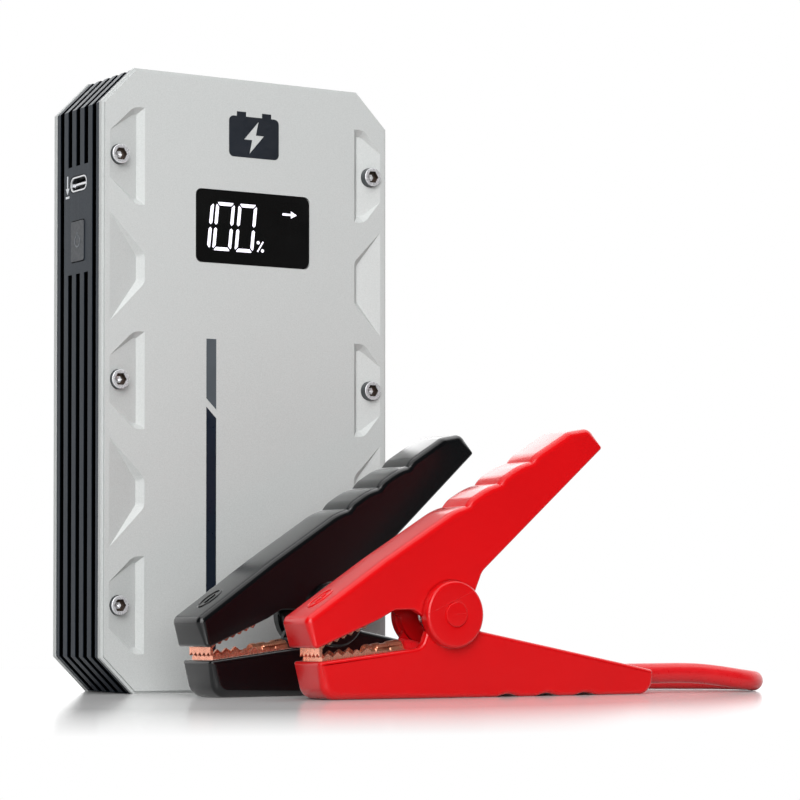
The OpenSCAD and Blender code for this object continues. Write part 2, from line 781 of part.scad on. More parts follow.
black_route = [[82.1, -45.25, 6.3], [90, -44.45, 8], [98, -42.15, 10], [106, -37.75, 9.8],
    [113, -30.75, 6.8], [118, -21.75, 4.3], [120.5, -10.75, 3.3], [121.5, 1.25, 3.3], [122, 14.25, 3.3],
    [121.5, 27.25, 3.3], [119, 40.25, 3.3], [113.5, 52.25, 3.3], [104.5, 61.25, 3.3], [93, 65.75, 3.3],
    [80.5, 65.25, 3.3], [69.5, 59.75, 3.3], [61, 51.25, 3.3], [53, 43.05, 3.5], [44.5, 39.15, 5],
    [36, 38.35, 6.3], [28, 38.35, 6.5], [16, 38.35, 6.5]];

plug_y = 34.75;
plug_z = 6.5;
plug_end = 16;                   // where the leads go into the housing
core_r = 2;                      // radius of a pin inside the housing

module at_pins() {
    for (s = [-1, 1]) translate([0, plug_y + s * contact_pitch / 2, plug_z]) children();
}

module plug_housing() {
    color("#2356a8") difference() {
        union() {
            translate([0, plug_y, plug_z]) along_x(-6, plug_end)
                polygon(rounded(soft_box(18, 13, 2.5)));
            translate([0, plug_y, plug_z]) along_x(-15, -5.9)
                polygon(rounded(soft_box(12.8, 11.6, 1)));
        }
        at_pins() rod_x(core_r, -16, 9);
    }
}

// The soft sleeve over the two leads where they go into the plug, thinner at its far end.
module plug_boot() {
    boot_l = 20;
    color("#16181b") difference() {
        translate([plug_end, plug_y, plug_z]) rotate([90, 0, 90]) hull() {
            linear_extrude(0.5) polygon(rounded(soft_box(16.6, 10.6, 3.5)));
            translate([0, 0, boot_l - 0.5]) linear_extrude(0.5)
                polygon(rounded(soft_box(14.9, 7.9, 3.5)));
        }
        at_pins() rod_x(lead_d / 2 + 0.05, plug_end - 1, plug_end + boot_l + 1);
    }
}

module plug_pins() {
    color("#c9a24a") at_pins() {
        rod_x(core_r, -15, 9);
        rod_x(contact_r - 0.05, -22, -15);
        rod_x(contact_r - 0.5, -24, -22);
    }
}

module red_lower_arm() { color("#cc1620") red_place() lower_arm(); }
module red_upper_arm() { color("#cc1620") red_place() opened() upper_arm(); }
module red_pivot_pin() { color("#b9bcbe") red_place() pivot_pin(); }
module red_lower_jaw() { red_place() lower_jaw(); }
module red_upper_jaw() { red_place() opened() upper_jaw(); }
module red_spring() { color("#b9bcbe") red_place() spring(); }
module red_crimp() { red_place() crimp(); }
module red_lead_tail() { color("#d0181f") red_place() lead_tail(); }
module red_lead() { color("#d0181f") swept(finer(red_route), lead_d / 2, lead_sides); }

module black_lower_arm() { color("#0d0e10") black_place() lower_arm(); }
module black_upper_arm() { color("#0d0e10") black_place() opened() upper_arm(); }
module black_pivot_pin() { color("#b9bcbe") black_place() pivot_pin(); }
module black_lower_jaw() { black_place() lower_jaw(); }
module black_upper_jaw() { black_place() opened() upper_jaw(); }
module black_spring() { color("#b9bcbe") black_place() spring(); }
module black_crimp() { black_place() crimp(); }
module black_lead_tail() { color("#0d0e10") black_place() lead_tail(); }
module black_lead() { color("#0d0e10") swept(finer(black_route), lead_d / 2, lead_sides); }

module front_gasket() { translate([0, frame_y, 0]) gasket(); }
module rear_gasket() { mirror([0, 1, 0]) translate([0, frame_y, 0]) gasket(); }
module front_screws() { plate_screws(); }
module rear_screws() { mirror([0, 1, 0]) plate_screws(); }

front_plate();
rear_plate();
side_frame();
cover_ears();
front_gasket();
rear_gasket();
front_screws();
rear_screws();
front_badge();
port_mark();
front_stripe();
lower_stripe();
display_lens();
display_digits();
display_module();
main_board();
side_board();
board_parts();
heat_sink();
usb_c_port();
usb_a_port();
power_button();
button_mark();
button_switch();
output_socket();
socket_contacts();
cover_pin();
port_cover();
bus_bars();
cell_1();
cell_2();
cell_3();
cell_4();
cell_tray();
red_lower_arm();
red_upper_arm();
red_pivot_pin();
red_lower_jaw();
red_upper_jaw();
red_spring();
red_crimp();
red_lead_tail();
red_lead();
black_lower_arm();
black_upper_arm();
black_pivot_pin();
black_lower_jaw();
black_upper_jaw();
black_spring();
black_crimp();
black_lead_tail();
black_lead();
plug_housing();
plug_boot();
plug_pins();
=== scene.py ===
"""Looks of the jump starter pack, its clamps and leads. Lengths are in metres, outlines in millimetres."""
import json
import math

import bmesh
import bpy
from mathutils import Matrix, Vector


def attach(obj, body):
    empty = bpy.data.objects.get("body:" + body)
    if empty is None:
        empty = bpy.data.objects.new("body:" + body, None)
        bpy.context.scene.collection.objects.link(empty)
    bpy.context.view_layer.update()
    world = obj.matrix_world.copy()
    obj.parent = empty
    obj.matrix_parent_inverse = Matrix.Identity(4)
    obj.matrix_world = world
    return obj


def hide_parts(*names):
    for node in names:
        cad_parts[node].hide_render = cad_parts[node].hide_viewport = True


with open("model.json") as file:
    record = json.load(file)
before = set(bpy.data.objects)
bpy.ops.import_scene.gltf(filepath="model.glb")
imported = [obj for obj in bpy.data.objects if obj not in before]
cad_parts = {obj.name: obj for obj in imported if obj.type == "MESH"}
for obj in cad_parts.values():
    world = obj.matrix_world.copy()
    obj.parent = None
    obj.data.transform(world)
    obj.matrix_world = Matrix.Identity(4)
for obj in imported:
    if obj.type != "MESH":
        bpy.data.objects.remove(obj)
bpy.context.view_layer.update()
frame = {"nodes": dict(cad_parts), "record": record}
MM = 0.001
PACK_HALF_W, PACK_HALF_D, PACK_HALF_H = 53.0, 18.25, 100.0
CORNER_CUT = 11.6
PORT_Z = 164.2
scene = bpy.context.scene


# Camera

def make_camera():
    data = bpy.data.cameras.new("camera")
    data.lens = 128
    data.sensor_width = 36
    data.shift_y = 0.17
    data.clip_end = 20
    camera = bpy.data.objects.new("camera", data)
    scene.collection.objects.link(camera)
    camera.location = (-0.4497, -0.83025, 0.0283)
    camera.rotation_euler = (math.radians(91.39), 0, math.radians(-32.03))
    scene.camera = camera


# Materials

class Nodes:
    """A short way to write a material's nodes."""

    def __init__(self, name):
        self.material = bpy.data.materials.new(name)
        self.material.use_nodes = True
        self.tree = self.material.node_tree
        self.shader = self.tree.nodes["Principled BSDF"]
        self.place = self.tree.nodes.new("ShaderNodeTexCoord").outputs["Object"]

    def add(self, kind, **values):
        node = self.tree.nodes.new("ShaderNode" + kind)
        for key, value in values.items():
            if hasattr(node, key):
                setattr(node, key, value)
            else:
                socket = node.inputs[key.replace("_", " ")]
                self.feed(value, socket)
        return node

    def feed(self, value, socket):
        if isinstance(value, bpy.types.NodeSocket):
            self.tree.links.new(value, socket)
        else:
            socket.default_value = value

    def noise(self, scale, detail=3.0, rough=0.5, stretch=None):
        place = self.place
        if stretch:
            place = self.add("Mapping", Vector=place, Scale=stretch).outputs[0]
        return self.add("TexNoise", Vector=place, Scale=scale, Detail=detail, Roughness=rough).outputs["Fac"]

    def between(self, fac, low, high, start=0.3, end=0.7):
        node = self.add("MapRange", Value=fac)
        for key, value in zip(("From Min", "From Max", "To Min", "To Max"), (start, end, low, high)):
            node.inputs[key].default_value = value
        return node.outputs[0]

    def blend(self, fac, a, b):
        node = self.add("Mix", data_type="RGBA")
        self.feed(fac, node.inputs[0])
        self.feed(a, node.inputs[6])
        self.feed(b, node.inputs[7])
        return node.outputs[2]

    def set(self, **values):
        for key, value in values.items():
            self.feed(value, self.shader.inputs[key.replace("_", " ")])

    def maths(self, operation, a, b=0.0):
        node = self.add("Math", operation=operation)
        self.feed(a, node.inputs[0])
        self.feed(b, node.inputs[1])
        return node.outputs[0]

    def bump(self, height, depth, strength=1.0):
        node = self.add("Bump", Height=height)
        node.inputs["Distance"].default_value = depth
        node.inputs["Strength"].default_value = strength
        self.feed(node.outputs[0], self.shader.inputs["Normal"])


def shade(rgb, factor):
    return (*[min(1.0, c * factor) for c in rgb], 1.0)


def plain(name, rgb, metal=0.0, rough=0.4, vary=0.12, grain=900.0, depth=0.00002, spread=0.08,
          cloud=60.0, coat=0.0, sheen=0.0):
    """A surface with slow colour clouds, uneven roughness and a fine grain; a coat brings a sheen with it."""
    n = Nodes(name)
    slow = n.noise(cloud, 3)
    fine = n.noise(grain, 4, 0.6)
    n.set(Base_Color=n.blend(n.between(slow, 0, 1), shade(rgb, 1 - vary), shade(rgb, 1 + vary)),
          Roughness=n.between(fine, rough - spread, rough + spread), Metallic=metal)
    if coat:
        n.set(Coat_Weight=coat, Coat_Roughness=0.22, Coat_IOR=1.35, IOR=1.3,
              Sheen_Weight=sheen, Sheen_Roughness=0.2)
    n.bump(fine, depth)
    return n.material


def silver_plate():
    n = Nodes("plate_silver")
    speck = n.noise(2200, 2, 0.7)
    slow = n.noise(14, 2)
    tone = n.blend(n.between(speck, 0, 1, 0.25, 0.75), (0.50, 0.518, 0.512, 1), (0.60, 0.617, 0.612, 1))
    n.set(Base_Color=n.blend(n.between(slow, 0, 0.25), tone, (0.58, 0.597, 0.592, 1)),
          Roughness=n.between(speck, 0.50, 0.62), Metallic=0.15)
    n.bump(speck, 0.00003, 0.5)
    return n.material


def ribbed_frame():
    """Dark anodised extrusion: fine drawn lines over a satin grey-blue, with painted shade in the grooves,
    near black and without reflections.
    The depth under the octagon outline comes from the piece's own coordinates."""
    n = Nodes("frame_anodised")
    drawn = n.noise(900, 3, 0.6, (1.0, 1.0, 0.02))
    speck = n.noise(1500, 3, 0.6)
    split = n.add("SeparateXYZ", Vector=n.place)
    x = n.maths("ABSOLUTE", split.outputs["X"])
    z = n.maths("ABSOLUTE", n.maths("SUBTRACT", split.outputs["Z"], PACK_HALF_H * MM))
    corner_reach = (PACK_HALF_W + PACK_HALF_H - CORNER_CUT) * MM
    across_slant = 0.7071
    slant = n.maths("MULTIPLY", n.maths("SUBTRACT", n.maths("ADD", x, z), corner_reach), across_slant)
    past_side = n.maths("SUBTRACT", x, PACK_HALF_W * MM)
    past_end = n.maths("SUBTRACT", z, PACK_HALF_H * MM)
    depth = n.maths("MAXIMUM", n.maths("MAXIMUM", past_side, past_end), slant)
    # Painted shade: below the ribs' outline the grooves turn near black, fully metal and rough, so that they
    # show neither light nor reflection.
    outer = n.between(depth, 0, 1, -0.0006, -0.0002)
    tone = n.blend(n.between(drawn, 0, 1), (0.013, 0.020, 0.030, 1), (0.021, 0.030, 0.042, 1))
    groove_rough, rib_gain = 0.85, 0.53
    rough = n.maths("SUBTRACT", groove_rough, n.maths("MULTIPLY", outer, rib_gain))
    # Painted shade: the near-black colour in the grooves.
    n.set(Base_Color=n.blend(outer, (0.0002, 0.0003, 0.0004, 1), tone),
          Metallic=n.maths("SUBTRACT", 1.0, outer),
          Roughness=n.maths("ADD", n.between(speck, -0.05, 0.07), rough),
          Specular_IOR_Level=0.12)
    n.bump(speck, 0.00001, 0.5)
    return n.material


def port_shell():
    """Bright drawn steel, with painted shade, near black, on the hollow between the rim and the tongue."""
    n = Nodes("shell_metal")
    fine = n.noise(900, 3)
    split = n.add("SeparateXYZ", Vector=n.place)
    rim_x, tongue_half = 0.0522, 0.0005
    face = n.maths("GREATER_THAN", n.maths("ABSOLUTE", split.outputs["X"]), rim_x)
    height = n.maths("ABSOLUTE", n.maths("SUBTRACT", split.outputs["Z"], PORT_Z * MM))
    tongue = n.maths("LESS_THAN", height, tongue_half)
    steel = n.blend(n.between(fine, 0, 1), (0.60, 0.61, 0.63, 1), (0.74, 0.75, 0.77, 1))
    # Painted shade: the shell's walls inside the hollow, away from the rim's face and the tongue, are
    # coloured near black.
    n.set(Base_Color=n.blend(n.maths("MAXIMUM", face, tongue), (0.03, 0.031, 0.034, 1), steel),
          Metallic=0.6, Roughness=n.between(fine, 0.26, 0.4))
    n.bump(fine, 0.000004)
    return n.material


def emissive(name, rgb, power):
    n = Nodes(name)
    n.set(Base_Color=n.blend(n.between(n.noise(400), 0, 1), shade(rgb, 0.94), shade(rgb, 1)),
          Roughness=0.4, Emission_Color=(*rgb, 1), Emission_Strength=power)
    return n.material


LOOKS = {
    "seal_rubber": dict(rgb=(0.015, 0.015, 0.017), rough=0.7),
    "screw_steel": dict(rgb=(0.66, 0.66, 0.68), metal=0.4, rough=0.26, vary=0.06, grain=1200, depth=0.000004),
    # Painted shade: a dark steel for the sides of the screw heads.
    "head_side_painted_shade": dict(rgb=(0.07, 0.08, 0.085), metal=0.4, rough=0.35),
    # Painted shade: a dark brown for the walls of the hex sockets.
    "socket_brown": dict(rgb=(0.045, 0.028, 0.02), metal=0.3, rough=0.45, vary=0.35, depth=0.00001,
                         spread=0.1, cloud=500),
    "spring_steel": dict(rgb=(0.55, 0.56, 0.57), metal=1.0, rough=0.3),
    "badge_ink": dict(rgb=(0.003, 0.006, 0.012), rough=0.5),
    "stripe_grey": dict(rgb=(0.066, 0.078, 0.09), rough=0.5),
    "stripe_navy": dict(rgb=(0.0045, 0.009, 0.019), rough=0.35),
    "lens_black": dict(rgb=(0.0055, 0.0055, 0.0055), rough=0.12, vary=0.2, grain=300, depth=0.000002,
                       spread=0.03),
    "module_black": dict(rgb=(0.012, 0.012, 0.013), rough=0.5),
    "board_green": dict(rgb=(0.012, 0.11, 0.04), rough=0.35),
    "chip_black": dict(rgb=(0.02, 0.02, 0.022), rough=0.5),
    "heat_sink": dict(rgb=(0.5, 0.51, 0.52), metal=1.0, rough=0.4),
    "button_grey": dict(rgb=(0.013, 0.018, 0.026), rough=0.45),
    "mark_pale": dict(rgb=(0.80, 0.83, 0.86), rough=0.5),
    # Painted light and shade: the embossed power mark is coloured a paler grey than its button so that its
    # relief shows.
    "mark_dark": dict(rgb=(0.11, 0.125, 0.14), rough=0.5),
    "socket_black": dict(rgb=(0.018, 0.02, 0.023), rough=0.5),
    "contact_gold": dict(rgb=(0.83, 0.6, 0.25), metal=1.0, rough=0.25),
    "cover_rubber": dict(rgb=(0.012, 0.013, 0.014), rough=0.6),
    "bus_copper": dict(rgb=(0.75, 0.38, 0.22), metal=1.0, rough=0.3),
    "cell_foil": dict(rgb=(0.48, 0.5, 0.53), metal=1.0, rough=0.35),
    "tray_black": dict(rgb=(0.015, 0.016, 0.017), rough=0.5),
    "clamp_red": dict(rgb=(0.66, 0.004, 0.006), rough=0.2, vary=0.03, grain=500, depth=0.0000006,
                      spread=0.02, cloud=40, coat=0.6, sheen=0.15),
    "clamp_black": dict(rgb=(0.0022, 0.0026, 0.0032), rough=0.2, vary=0.08, grain=500, depth=0.0000006,
                        spread=0.02, cloud=40, coat=1.0, sheen=1.0),
    "jaw_copper": dict(rgb=(0.88, 0.39, 0.27), metal=0.85, rough=0.26, vary=0.14, grain=700, depth=0.000006,
                       spread=0.06, cloud=220),
    "crimp_copper": dict(rgb=(0.66, 0.28, 0.17), metal=0.8, rough=0.32, vary=0.2, cloud=200),
    "lead_red": dict(rgb=(0.66, 0.008, 0.012), rough=0.33, vary=0.05, grain=1000, depth=0.000001),
    "lead_black": dict(rgb=(0.0045, 0.005, 0.006), rough=0.4),
    "plug_blue": dict(rgb=(0.02, 0.1, 0.38), rough=0.35),
}


def make_materials():
    """Every material by the name of its slot."""
    made = {name: plain(name, **look) for name, look in LOOKS.items()}
    made["plate_silver"] = silver_plate()
    made["frame_anodised"] = ribbed_frame()
    made["digit_white"] = emissive("digit_white", (0.84, 0.81, 0.92), 0.9)
    made["shell_metal"] = port_shell()
    return made


# Pieces

def as_mesh(work, name):
    """The mesh of a finished bmesh, with its faces looking outwards."""
    bmesh.ops.recalc_face_normals(work, faces=work.faces)
    data = bpy.data.meshes.new(name)
    work.to_mesh(data)
    work.free()
    return data


def place_mesh(name, mesh, material, smooth=30, even=True):
    """A piece from a mesh: smooth up to that many degrees, its normals weighted by face size where even."""
    obj = bpy.data.objects.new(name, mesh)
    scene.collection.objects.link(obj)
    mesh.materials.append(material)
    if smooth:
        mesh.shade_smooth()
        mesh.set_sharp_from_angle(angle=math.radians(smooth))
        if even:
            step = obj.modifiers.new("even", "WEIGHTED_NORMAL")
            step.keep_sharp = True
            step.weight = 100
    return obj


def flat_sides(obj):
    """Keeps an arm's broad sides flat in the shading: their outline is a hard edge."""
    flat_from = 0.9995
    kinds = {}
    for face in obj.data.polygons:
        for key in face.edge_keys:
            kinds.setdefault(key, set()).add(abs(face.normal.y) > flat_from)
    for edge in obj.data.edges:
        if len(kinds.get(edge.key, ())) == 2:
            edge.use_edge_sharp = True


def unit(v):
    return v / v.length


def rounded(corners, steps=14):
    """A closed outline from corners (x, z, radius); a corner of radius 0 stays sharp."""
    out = []
    count = len(corners)
    for i, (x, z, r) in enumerate(corners):
        b = Vector((x, z))
        if r <= 0:
            out.append(b)
            continue
        a, c = Vector(corners[i - 1][:2]), Vector(corners[(i + 1) % count][:2])
        u, w = unit(a - b), unit(c - b)
        half = u.angle(w) / 2
        m = b + unit(u + w) * (r / math.sin(half))
        s, e = b + u * (r / math.tan(half)) - m, b + w * (r / math.tan(half)) - m
        start = math.atan2(s.y, s.x)
        turn = (math.atan2(e.y, e.x) - start + math.pi) % (2 * math.pi) - math.pi
        out += [m + Vector((math.cos(start + turn * k / steps), math.sin(start + turn * k / steps))) * r
                for k in range(steps + 1)]
    return out


def waves(a, b, count, depth, share, steps=10):
    """Points from a to b with shallow finger dips on the left-hand side of the way."""
    a, b = Vector(a), Vector(b)
    step = (b - a) / count
    inward = unit(Vector((-step.y, step.x)))
    points = [a]
    for k in range(count):
        middle = a + step * (k + 0.5)
        for j in range(steps + 1):
            t = j / steps
            dip = depth * (0.5 - 0.5 * math.cos(2 * math.pi * t))
            points.append(middle + step * share * (t - 0.5) + inward * dip)
    return points + [b]


def finger_steps(a, b, valleys, depth, gentle=7.0, steep=4.2, steps=12):
    """Points from a to b with dips that fall gently into a crease and rise steeply to a rounded shoulder."""
    a, b = Vector(a), Vector(b)
    along = unit(b - a)
    inward = Vector((along.y, -along.x))
    points = [a]
    for v in valleys:
        for k in range(steps + 1):
            s = k / steps
            points.append(a + along * (v - gentle * (1 - s)) + inward * depth * s * s)
        for k in range(1, steps + 1):
            s = k / steps
            points.append(a + along * (v + steep * s) + inward * depth * (1 - s) ** 2)
    return points + [b]


def shrunk(points, inset):
    """The outline moved inwards, each point by its own inset; the outline runs anticlockwise."""
    count = len(points)
    out = []
    for i, p in enumerate(points):
        u, w = unit(p - points[i - 1]), unit(points[(i + 1) % count] - p)
        n1, n2 = Vector((-u.y, u.x)), Vector((-w.y, w.x))
        n = n1 + n2
        n = unit(n) if n.length > 1e-6 else n1
        out.append(p + n * inset[i] / max(0.5, n.dot(n1)))
    return out


def clean(points, least=0.05):
    """The outline without points closer than least, and running anticlockwise."""
    out = []
    for p in points:
        if not out or (p - out[-1]).length > least:
            out.append(p)
    if (out[0] - out[-1]).length <= least:
        out.pop()
    area = sum(p.x * q.y - q.x * p.y for p, q in zip(out, out[1:] + out[:1]))
    return out if area > 0 else out[::-1]


def soft_prism(name, points, y0, y1, r, steps=5):
    """An X-Z outline (millimetres) given a depth from y0 to y1, with its long edges rounded.
    r is the radius, or a function of a point that gives it."""
    points = clean(points)
    size = [r(p) if callable(r) else r for p in points]
    quarter = [math.pi / 2 * k / steps for k in range(steps + 1)] if any(size) else [math.pi / 2]
    sides = []
    for t in quarter:
        ring = shrunk(points, [q * (1 - math.sin(t)) for q in size])
        sides.append([(p, q * (1 - math.cos(t))) for p, q in zip(ring, size)])
    mesh = bmesh.new()
    rows = [[mesh.verts.new((p.x * MM, (y0 + d) * MM, p.y * MM)) for p, d in ring] for ring in sides]
    rows += [[mesh.verts.new((p.x * MM, (y1 - d) * MM, p.y * MM)) for p, d in ring] for ring in sides[::-1]]
    count = len(points)
    for low, high in zip(rows, rows[1:]):
        for i in range(count):
            j = (i + 1) % count
            mesh.faces.new((low[i], low[j], high[j], high[i]))
    mesh.faces.new(rows[0][::-1])
    mesh.faces.new(rows[-1])
    return as_mesh(mesh, name)


def lathe(name, profile, steps=48):
    """A closed ring of (radius, y) points in millimetres, turned about the Y axis."""
    mesh = bmesh.new()
    rows = []
    for k in range(steps):
        a = 2 * math.pi * k / steps
        rows.append([mesh.verts.new((r * math.cos(a) * MM, y * MM, r * math.sin(a) * MM))
                     for r, y in profile])
    for k in range(steps):
        here, there = rows[k], rows[(k + 1) % steps]
        for i in range(len(profile) - 1):
            mesh.faces.new((here[i], here[i + 1], there[i + 1], there[i]))
    bmesh.ops.remove_doubles(mesh, verts=mesh.verts, dist=1e-7)
    bmesh.ops.dissolve_degenerate(mesh, edges=mesh.edges, dist=1e-8)
    return as_mesh(mesh, name)


def arc(cx, cy, r, start, end, steps=5):
    """Points along an arc about (cx, cy), between two angles in degrees."""
    angles = [math.radians(start + (end - start) * k / steps) for k in range(steps + 1)]
    return [(cx + r * math.cos(a), cy + r * math.sin(a)) for a in angles]


def cut(mesh, *tools, join=False):
    """The mesh less (or with) the tool meshes, by exact booleans."""
    obj = bpy.data.objects.new("work", mesh)
    scene.collection.objects.link(obj)
    others = []
    for tool in tools:
        other = bpy.data.objects.new("tool", tool)
        scene.collection.objects.link(other)
        others.append(other)
        step = obj.modifiers.new("cut", "BOOLEAN")
        step.operation = "UNION" if join else "DIFFERENCE"
        step.solver = "EXACT"
        step.object = other
    bpy.context.view_layer.update()
    made = bpy.data.meshes.new_from_object(obj.evaluated_get(bpy.context.evaluated_depsgraph_get()))
    for other in [*others, obj]:
        bpy.data.objects.remove(other)
    return made


def round_edges(obj, width):
    """Rounds a node's edges of 35 degrees and more, by a modifier."""
    step = obj.modifiers.new("edges", "BEVEL")
    step.width = width * MM
    step.segments = 2
    step.limit_method = "ANGLE"
    step.angle_limit = math.radians(35)


def tube(name, points, radius, material, handles=True, resolution=8):
    """A round curve through points given in millimetres, smooth between them where handles."""
    curve = bpy.data.curves.new(name, "CURVE")
    curve.dimensions = "3D"
    curve.bevel_depth = radius * MM
    curve.bevel_resolution = resolution
    curve.resolution_u = 8
    curve.use_fill_caps = True
    spline = curve.splines.new("BEZIER" if handles else "POLY")
    if handles:
        spline.bezier_points.add(len(points) - 1)
        for knot, p in zip(spline.bezier_points, points):
            knot.co = Vector(p) * MM
            knot.handle_left_type = knot.handle_right_type = "AUTO"
    else:
        spline.points.add(len(points) - 1)
        for knot, p in zip(spline.points, points):
            knot.co = (*(Vector(p) * MM), 1)
    obj = bpy.data.objects.new(name, curve)
    scene.collection.objects.link(obj)
    curve.materials.append(material)
    return obj


# Leads

LEAD_D = 6.5
RED_ROUTE = [
    (100, -95.25, 6.3), (108.5, -95.25, 6.3), (116.5, -95.75, 6.3), (124, -97.05, 6),
    (131, -98.75, 5.2), (138, -99.75, 4.2), (144.4, -98.05, 3.5), (149, -92.95, 3.3),
    (150.5, -85.95, 3.3), (149.2, -78.95, 3.3), (145.3, -73.35, 3.3), (138.5, -68.35, 3.3),
    (129.5, -62.75, 3.3), (119.5, -56.05, 3.3), (109.5, -47.95, 3.3), (101, -39.75, 3.3),
    (93.5, -30.25, 3.3), (88, -18.75, 3.3), (84, -6.75, 3.3), (79, 5.25, 3.3), (72, 15.75, 3.3),
    (63, 24.25, 3.3), (53, 29.25, 3.4), (44, 30.95, 5), (36, 31.15, 6.3), (28, 31.15, 6.5),
    (16, 31.15, 6.5)]
BLACK_ROUTE = [
    (82.1, -45.25, 6.3), (90, -44.45, 8), (98, -42.15, 10), (106, -37.75, 9.8), (113, -30.75, 6.8),
    (118, -21.75, 4.3), (120.5, -10.75, 3.3), (121.5, 1.25, 3.3), (122, 14.25, 3.3), (121.5, 27.25, 3.3),
    (119, 40.25, 3.3), (113.5, 52.25, 3.3), (104.5, 61.25, 3.3), (93, 65.75, 3.3), (80.5, 65.25, 3.3),
    (69.5, 59.75, 3.3), (61, 51.25, 3.3), (53, 43.05, 3.5), (44.5, 39.15, 5), (36, 38.35, 6.3),
    (28, 38.35, 6.5), (16, 38.35, 6.5)]
TAIL_ROUTE = [
    (-13.5, 0, 15), (-9, 0, 14.3), (-4, 0, 12.2), (1, 0, 9.4), (6, 0, 7.2), (12, 0, 6.4),
    (20, 0, 6.3), (32, 0, 6.3), (50, 0, 6.3), (76.5, 0, 6.3)]


def make_leads(m):
    for colour, route in (("red", RED_ROUTE), ("black", BLACK_ROUTE)):
        lead = tube(f"{colour}_lead_sleeve", route, LEAD_D / 2, m[f"lead_{colour}"])
        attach(lead, "pack")
        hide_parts(f"{colour}_lead")


# Clamps. Each is built round its own pivot, with the jaws to -X, and then put in its place.

ARM_Y = 8.0
SLOT_Y = 5.8
HUB_R = 10.3
HUB_Y = 11.0
BOSS_RISE = 0.5
PIVOT_Z = 25.4
PIVOT_UP = Matrix.Translation((0, 0, PIVOT_Z * MM))
EAR_IN = 7.65
NOSE_TOP = (-51.1, 24.06)
TOP_BEND = (-23.3, 42.2)
TOP_END = (44.6, 82.65)
WIRE_R = 0.6
PLACES = {"red": ((23.5, -95.25), 0.0), "black": ((6.0, -53.25), 6.0)}


def clamp_matrix(colour):
    (x, y), turn = PLACES[colour]
    return Matrix.Translation((x * MM, y * MM, 0)) @ Matrix.Rotation(math.radians(turn), 4, "Z")


def put(obj, colour, body, node=None):
    obj.data.transform(clamp_matrix(colour))
    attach(obj, body)
    if node:
        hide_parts(node)


def share_of(value):
    return min(1.0, max(0.0, value))


def arm_edge(p):
    """The radius of the upper arm's long edges at a point of its outline: full along the top and round
    both ends, small below. It grows over a few millimetres between the two."""
    under, full = 0.6, 2.2
    chord = 0.612
    to_nose = share_of((p.y - 15.2) / 3.0) if p.x < -44 else 0.0
    above = p.y - (NOSE_TOP[1] + (p.x - NOSE_TOP[0]) * chord)
    to_top = share_of(1 + (above + 2.0) / 2.0) if -50.5 < p.x < 47 else 0.0
    to_end = share_of((p.y - 78.4) / 3.0) if p.x > 47 else 0.0
    return under + (full - under) * max(to_nose, to_top, to_end)


def upper_arm_mesh(name):
    """The upper arm, hollow below, with its nose, finger dips and a hub between the lower arm's discs."""
    top = finger_steps((-0.5, 56), TOP_END, (7, 21, 35), 1.05)
    shell = rounded([(*TOP_END, 5), (52.8, 84.1, 3.5), (57, 77.8, 0.8), (11.6, 38.6, 6), (8.4, 31, 0),
                     (6, 20, 0), (-6, 20, 0), (-9.2, 24.6, 1), (-13.4, 26.9, 3), (-20, 26.8, 4),
                     (-25, 24.2, 3), (-47.8, 15, 1.5), (*NOSE_TOP, 2.5), (*TOP_BEND, 0)])
    arm = soft_prism(name, shell + top[1:-1], -ARM_Y, ARM_Y, arm_edge, 9)
    hub_r = HUB_R - 0.9
    hub = lathe("hub", [(0, -EAR_IN), (hub_r, -EAR_IN), (hub_r, EAR_IN), (0, EAR_IN)])
    hub.transform(PIVOT_UP)
    arm = cut(arm, hub, join=True)
    channel = soft_prism("channel", [Vector(p) for p in (
        (-46.9, 5), (62, 5), (62, 60), (53.4, 75.6), (46.8, 81), (-0.3, 53), (-22.8, 39.4), (-46.9, 23.6))],
        -SLOT_Y, SLOT_Y, 0)
    room_r, room_y = HUB_R + 0.5, 9
    sides = []
    for side in (-1, 1):
        ring = [(0, EAR_IN), (room_r, EAR_IN), (room_r, room_y), (0, room_y)]
        disc = lathe("disc", [(r, side * y) for r, y in ring])
        disc.transform(PIVOT_UP)
        sides.append(disc)
    return cut(arm, channel, *sides)


